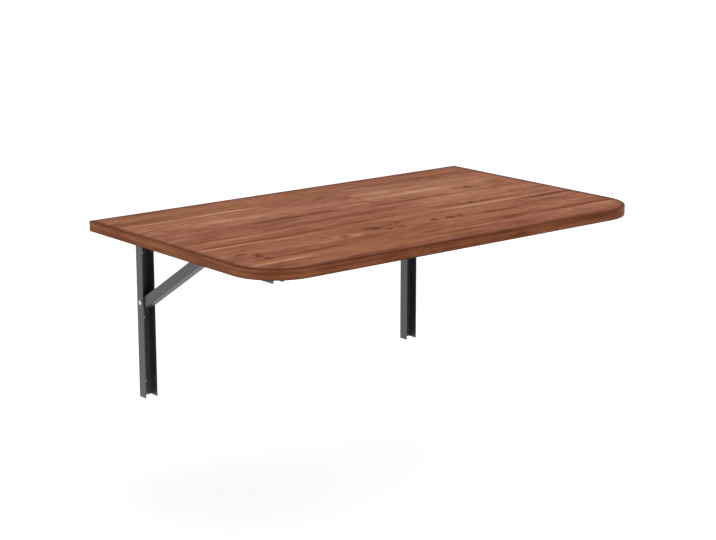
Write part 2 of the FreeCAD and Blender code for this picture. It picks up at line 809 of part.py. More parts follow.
def check():
    for item in doc.Objects:
        if {"Invalid", "Error"} & set(item.State):
            raise RuntimeError(f"{item.Label} failed: {item.State}")
    for piece in pieces():
        if piece.Shape.isNull() or not piece.Shape.isValid():
            raise RuntimeError(f"{piece.Label} has no valid shape")


def export():
    os.makedirs("parts", exist_ok=True)
    for piece in pieces():
        piece.Shape.exportStep(os.path.join("parts", f"{piece.Label}.step"))


build()
check()
export()
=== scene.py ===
"""The finish of the wall mounted drop leaf table, and the stage it is seen on.

A walnut laminate leaf with a darker edge band hangs on two powder-coated folding brackets. The
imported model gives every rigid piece. This script dresses those pieces, and makes anew the small
fasteners and springs that need threads, drive recesses and closed coils. Lengths are in metres, in
the table's frame.
"""
import bmesh
import bpy
import math
from mathutils import Matrix, Vector


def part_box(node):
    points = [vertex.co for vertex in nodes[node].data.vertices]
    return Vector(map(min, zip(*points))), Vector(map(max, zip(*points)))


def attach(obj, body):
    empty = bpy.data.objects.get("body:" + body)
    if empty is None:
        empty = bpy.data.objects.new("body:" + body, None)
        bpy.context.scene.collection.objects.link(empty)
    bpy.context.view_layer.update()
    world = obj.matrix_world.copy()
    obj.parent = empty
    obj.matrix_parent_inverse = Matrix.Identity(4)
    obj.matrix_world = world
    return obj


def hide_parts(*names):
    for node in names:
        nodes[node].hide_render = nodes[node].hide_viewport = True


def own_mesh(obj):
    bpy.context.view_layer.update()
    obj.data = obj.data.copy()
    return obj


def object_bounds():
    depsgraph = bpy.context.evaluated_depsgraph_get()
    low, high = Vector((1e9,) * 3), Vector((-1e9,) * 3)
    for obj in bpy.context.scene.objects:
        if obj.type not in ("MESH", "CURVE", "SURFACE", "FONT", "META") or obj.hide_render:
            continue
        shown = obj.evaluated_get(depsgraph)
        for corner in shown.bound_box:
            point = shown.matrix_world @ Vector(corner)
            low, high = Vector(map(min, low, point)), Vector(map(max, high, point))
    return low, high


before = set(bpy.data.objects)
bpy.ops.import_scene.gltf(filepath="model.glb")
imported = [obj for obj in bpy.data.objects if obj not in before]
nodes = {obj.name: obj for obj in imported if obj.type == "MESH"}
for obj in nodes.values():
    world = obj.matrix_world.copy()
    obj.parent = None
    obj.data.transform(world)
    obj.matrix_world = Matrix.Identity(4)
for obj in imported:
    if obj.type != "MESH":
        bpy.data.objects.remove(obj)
cad_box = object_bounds()
SIDES = ("left", "right")

MM = 0.001


# ---------------------------------------------------------------- colours and nodes

SRGB_KNEE = 0.04045
SRGB_SLOPE = 12.92
SRGB_SHIFT = 0.055
SRGB_POWER = 2.4
WHITE = (1.0, 1.0, 1.0, 1.0)


def linear(channel):
    """A channel of an sRGB colour, from 0 to 1, made linear."""
    if channel <= SRGB_KNEE:
        return channel / SRGB_SLOPE
    return ((channel + SRGB_SHIFT) / (1 + SRGB_SHIFT)) ** SRGB_POWER


def colour(text):
    """The linear colour of a hexadecimal sRGB one."""
    return (*[linear(int(text[first:first + 2], 16) / 255) for first in (0, 2, 4)], 1.0)


def add(tree, kind, inputs, output=0, **settings):
    """A node with its settings and inputs. An input is a number, a colour or a node's output."""
    node = tree.nodes.new(kind)
    for name, setting in settings.items():
        setattr(node, name, setting)
    for name, given in inputs.items():
        if isinstance(given, bpy.types.NodeSocket):
            tree.links.new(given, node.inputs[name])
        else:
            node.inputs[name].default_value = given
    return node.outputs[output]


def calc(tree, operation, *values):
    return add(tree, "ShaderNodeMath", dict(enumerate(values)), operation=operation)


def shift(tree, operation, *vectors, output=0):
    return add(tree, "ShaderNodeVectorMath", dict(enumerate(vectors)), output, operation=operation)


def length(tree, vector):
    return shift(tree, "LENGTH", vector, output=1)


def split(tree, vector):
    """The vector's X, Y and Z."""
    return add(tree, "ShaderNodeSeparateXYZ", {"Vector": vector}).node.outputs


def noise(tree, vector, stretch, detail=2.0, roughness=0.5, distortion=0.0, output=0):
    """Noise with that many features to a metre, one number or three for X, Y and Z."""
    scale = stretch if isinstance(stretch, tuple) else (stretch,) * 3
    return add(tree, "ShaderNodeTexNoise", {
        "Vector": shift(tree, "MULTIPLY", vector, scale), "Scale": 1.0, "Detail": detail,
        "Roughness": roughness, "Distortion": distortion}, output)


def rise(tree, value, span, ends=(0.0, 1.0)):
    """Goes smoothly from one end to the other while the value crosses the span."""
    return add(tree, "ShaderNodeMapRange", {
        "Value": value, "From Min": span[0], "From Max": span[1], "To Min": ends[0],
        "To Max": ends[1]}, interpolation_type="SMOOTHSTEP")


def blend(tree, share, first, second, how="MIX"):
    return add(tree, "ShaderNodeMix", {0: share, 6: first, 7: second}, 2,
               data_type="RGBA", blend_type=how)


def ramp(tree, value, stops):
    """Colours along the value, each stop a position and a hexadecimal colour."""
    output = add(tree, "ShaderNodeValToRGB", {0: value})
    elements = output.node.color_ramp.elements
    for number, (position, text) in enumerate(stops):
        element = elements[number] if number < 2 else elements.new(position)
        element.position = position
        element.color = colour(text)
    return output


def new_material(name):
    material = bpy.data.materials.new(name)
    material.use_nodes = True
    material.node_tree.nodes.clear()
    return material, material.node_tree


def add_output(tree, shader, kind="ShaderNodeOutputMaterial"):
    output = tree.nodes.new(kind)
    tree.links.new(shader, output.inputs["Surface"])


def surface(tree, **inputs):
    """The material's shader and its output. Input names have _ for spaces."""
    shader = add(tree, "ShaderNodeBsdfPrincipled", {
        name.replace("_", " "): given for name, given in inputs.items()})
    add_output(tree, shader)


def bump(tree, height, depth, strength, normal=None):
    inputs = {"Height": height, "Distance": depth, "Strength": strength}
    if normal is not None:
        inputs["Normal"] = normal
    return add(tree, "ShaderNodeBump", inputs)


def place(tree):
    """Where a point lies on the object, in metres."""
    return add(tree, "ShaderNodeTexCoord", {}, "Object")


# ---------------------------------------------------------------- the board's printed figure

# Each mark is where its middle lies, from the board's left end and from its back edge, then half
# its length, half its width and how much lighter (or darker) it is.
LIGHT_STREAKS = (
    (0.090, 0.108, 0.110, 0.0060, 0.30), (0.255, 0.107, 0.095, 0.0070, 0.50),
    (0.220, 0.181, 0.120, 0.0150, 0.18), (0.235, 0.215, 0.070, 0.0080, 0.14),
    (0.180, 0.160, 0.130, 0.0300, 0.06), (0.095, 0.328, 0.120, 0.0070, 0.12),
    (0.085, 0.376, 0.100, 0.0042, 0.34), (0.215, 0.387, 0.070, 0.0045, 0.34),
    (0.310, 0.385, 0.060, 0.0040, 0.16), (0.505, 0.376, 0.060, 0.0050, 0.18),
    (0.740, 0.372, 0.150, 0.0085, 0.40), (0.920, 0.374, 0.090, 0.0060, 0.26),
    (0.075, 0.534, 0.085, 0.0075, 0.36), (0.205, 0.528, 0.090, 0.0050, 0.18),
    (0.600, 0.530, 0.150, 0.0050, 0.10), (0.860, 0.528, 0.100, 0.0080, 0.16),
    (0.640, 0.140, 0.060, 0.0150, 0.18), (0.690, 0.185, 0.120, 0.0120, 0.22),
    (0.620, 0.083, 0.050, 0.0080, 0.18), (0.750, 0.295, 0.130, 0.0260, 0.10),
    (0.262, 0.456, 0.030, 0.0080, 0.16), (0.335, 0.452, 0.018, 0.0110, 0.18),
    (0.600, 0.461, 0.045, 0.0080, 0.16), (0.900, 0.412, 0.080, 0.0065, 0.18),
    (0.820, 0.490, 0.080, 0.0120, 0.10), (0.920, 0.541, 0.070, 0.0110, 0.16),
    (0.560, 0.322, 0.200, 0.0100, 0.07), (0.740, 0.220, 0.230, 0.1500, 0.09),
)
DARK_STREAKS = (
    (0.350, 0.235, 0.110, 0.0100, 0.34), (0.420, 0.234, 0.045, 0.0110, 0.16),
    (0.190, 0.240, 0.080, 0.0080, 0.12), (0.110, 0.312, 0.170, 0.0075, 0.20),
    (0.340, 0.306, 0.120, 0.0070, 0.16), (0.490, 0.290, 0.100, 0.0080, 0.20),
    (0.120, 0.365, 0.180, 0.0050, 0.22), (0.300, 0.368, 0.090, 0.0050, 0.18),
    (0.470, 0.354, 0.130, 0.0065, 0.30), (0.740, 0.352, 0.150, 0.0070, 0.18),
    (0.640, 0.250, 0.130, 0.0080, 0.24), (0.540, 0.232, 0.060, 0.0120, 0.12),
    (0.070, 0.392, 0.060, 0.0060, 0.24), (0.210, 0.402, 0.070, 0.0045, 0.16),
    (0.170, 0.503, 0.120, 0.0075, 0.26), (0.900, 0.512, 0.130, 0.0055, 0.26),
    (0.680, 0.505, 0.080, 0.0060, 0.12), (0.100, 0.550, 0.110, 0.0060, 0.18),
    (0.500, 0.547, 0.150, 0.0075, 0.28), (0.690, 0.556, 0.110, 0.0060, 0.16),
    (0.265, 0.586, 0.080, 0.0060, 0.18), (0.710, 0.448, 0.085, 0.0080, 0.26),
    (0.915, 0.389, 0.100, 0.0075, 0.25), (0.800, 0.066, 0.200, 0.0080, 0.18),
    (0.280, 0.066, 0.240, 0.0080, 0.12), (0.070, 0.080, 0.090, 0.0140, 0.18),
    (0.520, 0.118, 0.080, 0.0050, 0.14), (0.940, 0.205, 0.030, 0.0280, 0.16),
    (0.850, 0.255, 0.120, 0.0060, 0.14), (0.440, 0.515, 0.120, 0.0080, 0.10),
    (0.432, 0.430, 0.055, 0.0180, 0.12), (0.420, 0.500, 0.300, 0.0700, 0.05),
)
KNOTS = (
    (0.310, 0.443, 0.0090, 0.0075, 0.38), (0.402, 0.428, 0.0110, 0.0085, 0.42),
    (0.423, 0.445, 0.0090, 0.0070, 0.42), (0.453, 0.449, 0.0110, 0.0060, 0.32),
    (0.476, 0.403, 0.0100, 0.0070, 0.34), (0.550, 0.434, 0.0110, 0.0075, 0.38),
    (0.590, 0.438, 0.0120, 0.0090, 0.37), (0.621, 0.438, 0.0080, 0.0065, 0.30),
    (0.390, 0.412, 0.0250, 0.0080, 0.20), (0.700, 0.443, 0.0180, 0.0080, 0.22),
    (0.078, 0.475, 0.0100, 0.0140, 0.20), (0.055, 0.448, 0.0160, 0.0080, 0.15),
    (0.083, 0.502, 0.0110, 0.0100, 0.19), (0.807, 0.213, 0.0080, 0.0090, 0.26),
    (0.843, 0.218, 0.0100, 0.0120, 0.28), (0.730, 0.345, 0.0100, 0.0080, 0.24),
)
MARK_STRENGTH = 1.05
MARK_SPREAD = 1.45            # how far a mark fades out past its half length and half width
PARTING = (6.0, 3.2)          # how far the grain parts round a knot, in its half lengths and widths
PARTING_DEPTH = 0.85
KNOT_EDGE = (70.0, 110.0, 1.0)                   # features to a metre of a knot's ragged outline
KNOT_RAGGED = (0.022, 0.014, 0.0)                # how ragged the outline is, along and across
KNOT_DEPTH = 1.35

# Where one stave of the print meets the next, and how much lighter the next one is.
STAVES = ((0.108, 0.03), (0.242, -0.03), (0.370, -0.02), (0.528, -0.02))
FIRST_STAVE = -0.01
STAVE_END = (0.565, 0.122, 0.236)                # the cross joint, and where it starts and stops
STAVE_END_HALF_WIDTH = 0.0045
STAVE_END_DEPTH = 0.22
STAVE_END_STEP = 0.02         # how much lighter the stave past the cross joint is
STAVE_END_NUMBER = 0.5        # added to that stave's number, so that its grain is its own
STAVE_GRAIN = (7.0, 0.0, 3.0)                    # how far a stave's grain is moved, at the most

# How far lines of the print wander and jitter across their own direction.
WANDER = (2.2, 7.0, 1.0)      # features to a metre of the long waves
WANDER_DETAIL = 1.0
JITTER = (14.0, 60.0, 1.0)    # and of the short ones
GRAIN_WAVES = (0.030, 0.0045)
STAVE_WAVES = (0.004, 0.003)
MARK_WAVES = (0.003, 0.007)

# The grain: features to a metre, detail, roughness and distortion of each noise, and its share.
GRAIN = {
    "broad": ((3.2, 24.0, 1.0), 3.0, 0.55, 0.6, 0.50),
    "bands": ((15.0, 56.0, 1.0), 2.0, 0.5, 0.8, 0.42),
    "streaks": ((22.0, 120.0, 1.0), 3.0, 0.62, 0.8, 0.50),
    "lines": ((9.0, 520.0, 1.0), 3.0, 0.6, 0.3, 0.50),
    "flecks": ((70.0, 1500.0, 1.0), 2.0, 0.5, 0.0, 0.25),
}
NOISE_MIDDLE = 0.5
NOISE_SPAN = (0.3, 0.7)       # where most of a noise's values lie

WALNUT_TONES = ((0.0, "3C190B"), (0.25, "70381D"), (0.5, "985E47"), (0.75, "B98265"),
                (1.0, "D8A686"))
MIDDLE_TONE = 0.50
PORES = (0.30, 0.46)          # the flecks' values between which a pore fades out
PORE_SHARE = 0.35
PORE_COLOUR = "4E2210"
WARM_PATCHES = (1.3, 15.0, 1.0)
WARM_SPAN = (0.42, 0.70)
WARM_SHARE = 0.34
WARM_COLOUR = "A26D41"
UNDERSIDE_SHIFT = 0.13        # how far the underside's print is moved along the board

CORNER_RADIUS = 0.100
TOP_RIM_SHADE_REACH = (0.002, 0.016)   # from the rim inwards, where the painted shade along the top's rim fades out
TOP_RIM_SHADE_SHARE = 0.70
FAR_RIM_SHADE_REACH = (0.006, 0.020)    # the same painted shade along the back and the right end, where it is broader
FAR_RIM_SHADE_SHARE = 0.72
# The colour of the painted shade along the top's rim.
TOP_RIM_SHADE_COLOUR = "522410"

WALNUT_ROUGHNESS = (0.64, 0.72)
WALNUT_SHEEN = 0.04
WALNUT_BUMP = (0.06 * MM, 0.5)                   # depth and strength
PORE_HEIGHT = -0.8
LINE_HEIGHT = 0.5

board_low, board_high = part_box("edge_band_front")
board_width, board_depth = board_high.x - board_low.x, board_high.y - board_low.y


def ellipse(tree, point, mark, spread=(1.0, 1.0)):
    """The way from a mark's middle, and its length where 1 is the mark's outline, spread out."""
    x, back, half_length, half_width, _ = mark
    off = shift(tree, "SUBTRACT", point, (x, back, 0.0))
    scale = (1 / (half_length * spread[0]), 1 / (half_width * spread[1]), 0.0)
    return off, length(tree, shift(tree, "MULTIPLY", off, scale))


def marks(tree, point, rows):
    """The sum of the marks at the point, each an ellipse that fades out to its rim."""
    total = 0.0
    for mark in rows:
        far = ellipse(tree, point, mark)[1]
        strength = rise(tree, far, (0.0, MARK_SPREAD), (mark[-1] * MARK_STRENGTH, 0.0))
        total = calc(tree, "ADD", total, strength)
    return total


def board_point(tree):
    """A point as its distance from the board's left end and from its back edge, and its height."""
    return shift(tree, "MULTIPLY_ADD", place(tree), (1.0, -1.0, 1.0),
                 (-board_low.x, board_high.y, 0.0))


def printed_point(tree):
    """A point of the print, whose other sheet lies turned half round on the underside."""
    point = board_point(tree)
    under = calc(tree, "LESS_THAN", split(tree, point)[2], (board_low.z + board_high.z) / 2)
    turned = shift(tree, "SUBTRACT", (board_width + UNDERSIDE_SHIFT, board_depth, 0.0), point)
    between = shift(tree, "SUBTRACT", turned, point)
    share = add(tree, "ShaderNodeCombineXYZ", {"X": under, "Y": under})
    return shift(tree, "MULTIPLY_ADD", between, share, point)


def moved_across(tree, point, distance):
    return shift(tree, "ADD", point, add(tree, "ShaderNodeCombineXYZ", {"Y": distance}))


def waved(tree, point, far, near):
    """The point moved across the grain, so that lines along it wander and jitter so far."""
    wander = calc(tree, "SUBTRACT", noise(tree, point, WANDER, WANDER_DETAIL), NOISE_MIDDLE)
    jitter = calc(tree, "SUBTRACT", noise(tree, point, JITTER), NOISE_MIDDLE)
    across = calc(tree, "MULTIPLY_ADD", jitter, near, calc(tree, "MULTIPLY", wander, far))
    return moved_across(tree, point, across)


def parted(tree, point, rows):
    """The point drawn across the grain towards each knot near it, so that lines part round it."""
    total = 0.0
    for mark in rows:
        off, far = ellipse(tree, point, mark, PARTING)
        near = rise(tree, far, (0.0, 1.0), (-PARTING_DEPTH, 0.0))
        total = calc(tree, "MULTIPLY_ADD", near, split(tree, off)[1], total)
    return moved_across(tree, point, total)


def staves(tree, point):
    """Each stave's own number and tone, and the dark line of the cross joint."""
    along, back, _ = split(tree, point)
    number, tone = 0.0, FIRST_STAVE
    for joint, step in STAVES:
        past = calc(tree, "GREATER_THAN", back, joint)
        number = calc(tree, "ADD", number, past)
        tone = calc(tree, "MULTIPLY_ADD", past, step, tone)
    x, start, stop = STAVE_END
    inside = calc(tree, "MULTIPLY", calc(tree, "GREATER_THAN", back, start),
                  calc(tree, "LESS_THAN", back, stop))
    after = calc(tree, "MULTIPLY", inside, calc(tree, "GREATER_THAN", along, x))
    number = calc(tree, "MULTIPLY_ADD", after, STAVE_END_NUMBER, number)
    tone = calc(tree, "MULTIPLY_ADD", after, STAVE_END_STEP, tone)
    from_joint = calc(tree, "ABSOLUTE", calc(tree, "SUBTRACT", along, x))
    line = rise(tree, from_joint, (0.0, STAVE_END_HALF_WIDTH), (1.0, 0.0))
    return number, tone, calc(tree, "MULTIPLY", inside, line)


def from_rim(tree, along, back):
    """How far a point of the top lies inside the board's outline."""
    from_middle = calc(tree, "ABSOLUTE", calc(tree, "SUBTRACT", along, board_width / 2))
    side = calc(tree, "SUBTRACT", from_middle, board_width / 2 - CORNER_RADIUS)
    front = calc(tree, "SUBTRACT", back, board_depth - CORNER_RADIUS)
    outward = add(tree, "ShaderNodeCombineXYZ", {
        "X": calc(tree, "MAXIMUM", side, 0.0), "Y": calc(tree, "MAXIMUM", front, 0.0)})
    inside = calc(tree, "SUBTRACT", CORNER_RADIUS, length(tree, outward))
    return calc(tree, "MINIMUM", inside, back)


def top_rim_shade(tree):
    """The share of painted shade along the top's rim, broader along the back and the right end."""
    along, back, _ = split(tree, board_point(tree))
    far_rim = calc(tree, "MINIMUM", back, calc(tree, "SUBTRACT", board_width, along))
    near = rise(tree, from_rim(tree, along, back), TOP_RIM_SHADE_REACH, (TOP_RIM_SHADE_SHARE, 0.0))
    return calc(tree, "MAXIMUM", near, rise(tree, far_rim, FAR_RIM_SHADE_REACH, (FAR_RIM_SHADE_SHARE, 0.0)))


def walnut():
    """Printed walnut laminate: staves side by side, streaks, knots and fine pores, satin."""
    material, tree = new_material("walnut_laminate")
    flat = printed_point(tree)
    point = waved(tree, parted(tree, flat, KNOTS), *GRAIN_WAVES)
    number, tone, end_line = staves(tree, waved(tree, flat, *STAVE_WAVES))
    own = add(tree, "ShaderNodeTexWhiteNoise", {"W": number}, 1, noise_dimensions="1D")
    grain_point = shift(tree, "MULTIPLY_ADD", own, STAVE_GRAIN, point)
    light = calc(tree, "ADD", tone, MIDDLE_TONE)
    grain = {}
    for name, (*shape, share) in GRAIN.items():
        grain[name] = noise(tree, grain_point, *shape)
        light = calc(tree, "MULTIPLY_ADD", calc(tree, "SUBTRACT", grain[name], NOISE_MIDDLE),
                     share, light)
    drawn = waved(tree, flat, *MARK_WAVES)
    light = calc(tree, "ADD", light, marks(tree, drawn, LIGHT_STREAKS))
    light = calc(tree, "SUBTRACT", light, marks(tree, drawn, DARK_STREAKS))
    ragged = shift(tree, "SUBTRACT", noise(tree, flat, KNOT_EDGE, output=1), (NOISE_MIDDLE,) * 3)
    knots = marks(tree, shift(tree, "MULTIPLY_ADD", ragged, KNOT_RAGGED, drawn), KNOTS)
    light = calc(tree, "MULTIPLY_ADD", knots, -KNOT_DEPTH, light)
    light = calc(tree, "MULTIPLY_ADD", end_line, -STAVE_END_DEPTH, light)
    tint = ramp(tree, light, WALNUT_TONES)
    pores = rise(tree, grain["flecks"], PORES, (1.0, 0.0))
    tint = blend(tree, calc(tree, "MULTIPLY", pores, PORE_SHARE), tint, colour(PORE_COLOUR))
    warm = rise(tree, noise(tree, point, WARM_PATCHES), WARM_SPAN, (0.0, WARM_SHARE))
    tint = blend(tree, warm, tint, colour(WARM_COLOUR))
    # painted shade along the top's rim
    tint = blend(tree, top_rim_shade(tree), tint, colour(TOP_RIM_SHADE_COLOUR))
    height = calc(tree, "MULTIPLY_ADD", pores, PORE_HEIGHT,
                  calc(tree, "MULTIPLY", grain["lines"], LINE_HEIGHT))
    surface(tree, Base_Color=tint, Specular_IOR_Level=WALNUT_SHEEN,
            Roughness=rise(tree, grain["streaks"], NOISE_SPAN, WALNUT_ROUGHNESS),
            Normal=bump(tree, height, *WALNUT_BUMP))
    return material


# ---------------------------------------------------------------- the edge band

BAND_LAYERS = (2.2, 2.2, 210.0)                  # features to a metre, as in the next four
BAND_LINES = (7.0, 7.0, 900.0)
BAND_CLOUDS = (11.0, 11.0, 55.0)
BAND_FLECKS = (90.0, 90.0, 1600.0)
BAND_RIM_SHADE_PATCHES = (3.4, 3.4, 1.0)
LAYERS_SHARE = 0.65
LINES_SHARE = 0.22
CLOUDS_SHARE = 0.62
BAND_DARKER = 0.24
BAND_TONES = ((0.15, "4A2210"), (0.42, "6A3920"), (0.58, "804D32"), (0.85, "A36C4B"))
BAND_PORES = (0.30, 0.44)     # the flecks' values between which a pore fades out
BAND_PORE_COLOUR = "3A190B"
BAND_RIM_SHADE_WIDTH = 0.0040            # painted shade along the edge band's upper rim, before it wanders
BAND_RIM_SHADE_WANDER = 0.005            # how much wider the upper rim's painted shade gets along the band
BAND_RIM_SHADE_WANDER_SPAN = (0.42, 0.64)
BAND_RIM_SHADE_SHARE = 0.90
BAND_RIM_SHADE_COLOUR = "C8AF96"         # the painted shade's colour, multiplied with the band's own
LOWER_RIM_SHADE_REACH = (0.0006, 0.0030)  # up from the underside, where the painted shade of the band's lower rim fades out
LOWER_RIM_SHADE_SHARE = 0.95
LOWER_RIM_SHADE_COLOUR = "3A1A0A"
BAND_ROUGHNESS = (0.54, 0.62)
BAND_SHEEN = 0.08
BAND_BUMP = (0.05 * MM, -0.4)                    # depth and strength, less than 0 for a hollow


def edging():
    """The redder edge band, its printed grain running round the edge in thin layers."""
    material, tree = new_material("walnut_edge_band")
    point = place(tree)
    layers = noise(tree, point, BAND_LAYERS, detail=3.0, roughness=0.6, distortion=0.25)
    lines = noise(tree, point, BAND_LINES, roughness=0.55)
    clouds = noise(tree, point, BAND_CLOUDS, detail=3.0, roughness=0.55)
    light = calc(tree, "MULTIPLY_ADD", layers, LAYERS_SHARE,
                 calc(tree, "MULTIPLY", lines, LINES_SHARE))
    light = calc(tree, "MULTIPLY_ADD", clouds, CLOUDS_SHARE,
                 calc(tree, "SUBTRACT", light, BAND_DARKER))
    tint = ramp(tree, light, BAND_TONES)
    pores = rise(tree, noise(tree, point, BAND_FLECKS), BAND_PORES, (1.0, 0.0))
    tint = blend(tree, calc(tree, "MULTIPLY", pores, PORE_SHARE), tint, colour(BAND_PORE_COLOUR))
    height = split(tree, point)[2]
    # painted shade along the band's upper rim, its width wandering along the band
    wander = rise(tree, noise(tree, point, BAND_RIM_SHADE_PATCHES), BAND_RIM_SHADE_WANDER_SPAN, (0.0, BAND_RIM_SHADE_WANDER))
    below_top = calc(tree, "SUBTRACT", calc(tree, "SUBTRACT", board_high.z, height), wander)
    upper_rim_shade = rise(tree, below_top, (0.0, BAND_RIM_SHADE_WIDTH), (BAND_RIM_SHADE_SHARE, 0.0))
    tint = blend(tree, upper_rim_shade, tint, colour(BAND_RIM_SHADE_COLOUR), "MULTIPLY")
    # painted shade along the band's lower rim
    above_bottom = calc(tree, "SUBTRACT", height, board_low.z)
    lower_rim_shade = rise(tree, above_bottom, LOWER_RIM_SHADE_REACH, (LOWER_RIM_SHADE_SHARE, 0.0))
    tint = blend(tree, lower_rim_shade, tint, colour(LOWER_RIM_SHADE_COLOUR))
    surface(tree, Base_Color=tint, Specular_IOR_Level=BAND_SHEEN,
            Roughness=rise(tree, lines, NOISE_SPAN, BAND_ROUGHNESS),
            Normal=bump(tree, pores, *BAND_BUMP))
    return material


# ---------------------------------------------------------------- metal and plastic

# Noises are features to a metre, bumps a depth and a strength.
COAT_PEEL, COAT_GRIT, COAT_CLOUDS = 520.0, 2600.0, 24.0
COAT_TONES = ((0.3, "35373B"), (0.7, "393B40"))
COAT_ROUND = 0.6 * MM         # how far the coat rounds off the sheet's edges
COAT_EDGE = (0.80, 0.97)      # how well the rounded normal agrees with the true one by an edge
COAT_EDGE_SHARE = 0.35
COAT_EDGE_COLOUR = "55575B"
COAT_SPECKS = (0.35, 0.70)
COAT_SPECK_SHARE = 0.18
COAT_SPECK_COLOUR = "45474B"
COAT_GRIT_HEIGHT = 0.25
COAT_ROUGHNESS = (0.38, 0.46)
COAT_SHEEN = 0.62
COAT_BUMP = (0.05 * MM, 0.55)

ZINC_CLOUDS, ZINC_GRAIN = 160.0, (3500.0, 500.0, 3500.0)
ZINC_TONES = ((0.30, "A7ABB0"), (0.52, "C2C5C9"), (0.72, "CFCBC0"))
ZINC_ROUND = 0.3 * MM
ZINC_ROUGHNESS = (0.26, 0.42)
ZINC_BUMP = (0.02 * MM, 0.35)

WIRE_CLOUDS = 300.0
WIRE_TONES = ((0.3, "7E8083"), (0.7, "A3A4A6"))
WIRE_ROUGHNESS = (0.24, 0.36)
WIRE_BUMP = (0.02 * MM, 0.3)

NYLON_RINGS, NYLON_CLOUDS = (2600.0, 120.0, 120.0), 220.0
NYLON_TONES = ((0.3, "D6D2C4"), (0.7, "E4E1D6"))
NYLON_ROUGHNESS = (0.34, 0.46)
NYLON_MILK = 0.15             # how milky it is, and how far light gets into it
NYLON_MILK_REACH = 2 * MM
NYLON_BUMP = (0.03 * MM, 0.35)


def powder_coat():
    """Dark grey satin powder coat with fine orange peel, thinner on the sheet's sharp edges."""
    material, tree = new_material("dark_powder_coat")
    point = place(tree)
    peel = noise(tree, point, COAT_PEEL)
    grit = noise(tree, point, COAT_GRIT, detail=1.0)
    clouds = noise(tree, point, COAT_CLOUDS, roughness=0.55)
    rounded = add(tree, "ShaderNodeBevel", {"Radius": COAT_ROUND}, samples=6)
    true_normal = add(tree, "ShaderNodeNewGeometry", {}, "True Normal")
    facing = shift(tree, "DOT_PRODUCT", rounded, true_normal, output=1)
    edge = rise(tree, facing, COAT_EDGE, (1.0, 0.0))
    tint = ramp(tree, clouds, COAT_TONES)
    tint = blend(tree, calc(tree, "MULTIPLY", edge, COAT_EDGE_SHARE), tint,
                 colour(COAT_EDGE_COLOUR))
    specks = rise(tree, grit, COAT_SPECKS, (0.0, COAT_SPECK_SHARE))
    tint = blend(tree, specks, tint, colour(COAT_SPECK_COLOUR))
    height = calc(tree, "MULTIPLY_ADD", grit, COAT_GRIT_HEIGHT, peel)
    surface(tree, Base_Color=tint, Specular_IOR_Level=COAT_SHEEN,
            Roughness=rise(tree, peel, NOISE_SPAN, COAT_ROUGHNESS),
            Normal=bump(tree, height, *COAT_BUMP, rounded))
    return material


def zinc():
    """Bright zinc plate, a little blue and cloudy, with fine drawing lines."""
    material, tree = new_material("zinc_plate")
    point = place(tree)
    clouds = noise(tree, point, ZINC_CLOUDS, detail=3.0, roughness=0.6)
    rounded = add(tree, "ShaderNodeBevel", {"Radius": ZINC_ROUND}, samples=4)
    surface(tree, Base_Color=ramp(tree, clouds, ZINC_TONES), Metallic=1.0,
            Roughness=rise(tree, clouds, NOISE_SPAN, ZINC_ROUGHNESS),
            Normal=bump(tree, noise(tree, point, ZINC_GRAIN), *ZINC_BUMP, rounded))
    return material


def spring_steel():
    """Oiled spring wire with a fine uneven skin."""
    material, tree = new_material("spring_steel")
    clouds = noise(tree, place(tree), WIRE_CLOUDS, roughness=0.6)
    surface(tree, Base_Color=ramp(tree, clouds, WIRE_TONES), Metallic=1.0,
            Roughness=rise(tree, clouds, NOISE_SPAN, WIRE_ROUGHNESS),
            Normal=bump(tree, clouds, *WIRE_BUMP))
    return material


def nylon():
    """Natural nylon, turned, a little milky."""
    material, tree = new_material("nylon")
    point = place(tree)
    clouds = noise(tree, point, NYLON_CLOUDS)
    surface(tree, Base_Color=ramp(tree, clouds, NYLON_TONES),
            Roughness=rise(tree, clouds, NOISE_SPAN, NYLON_ROUGHNESS),
            Subsurface_Weight=NYLON_MILK, Subsurface_Scale=NYLON_MILK_REACH,
            Normal=bump(tree, noise(tree, point, NYLON_RINGS), *NYLON_BUMP))
    return material


# ---------------------------------------------------------------- stage, lamps and camera

FLOOR_HEIGHT = -0.52          # the table's top stands 0.75 above it
FLOOR_REACH = 30.0
FLOOR_CELLS = 8
FLOOR_COLOUR = "F2F2F0"
FLOOR_GLOW = (0.46, 0.62)     # near the table and far from it, so that only the shadow shows
FLOOR_GLOW_REACH = (0.6, 3.0)
SURROUNDINGS = 0.50           # how strongly the white surroundings light the table
# Each lamp's name, place, width and watts.
LAMPS = (
    ("lamp_key", (-1.0, -2.0, 2.8), 1.8, 44.0),
    ("lamp_side", (-14.0, 0.9, 0.1), 6.2, 1030.0),
    ("lamp_fill", (1.9, -3.0, 1.9), 2.2, 36.0),
)
CAMERA_PLACE = (-2.3687, -3.165, 0.9931)
CAMERA_TILT = 90 - 13.4650
CAMERA_TURN = -39.2975
CAMERA_LENS = 91.450
CAMERA_SENSOR = 36.0
CAMERA_CLIP = (0.05, 100.0)


def shows_background(tree):
    """1 for a ray that shows the background: from the camera, in a reflection, through glass."""
    path = add(tree, "ShaderNodeLightPath", {}).node.outputs
    return calc(tree, "MAXIMUM", path["Is Camera Ray"],
                calc(tree, "MAXIMUM", path["Is Glossy Ray"], path["Is Transmission Ray"]))


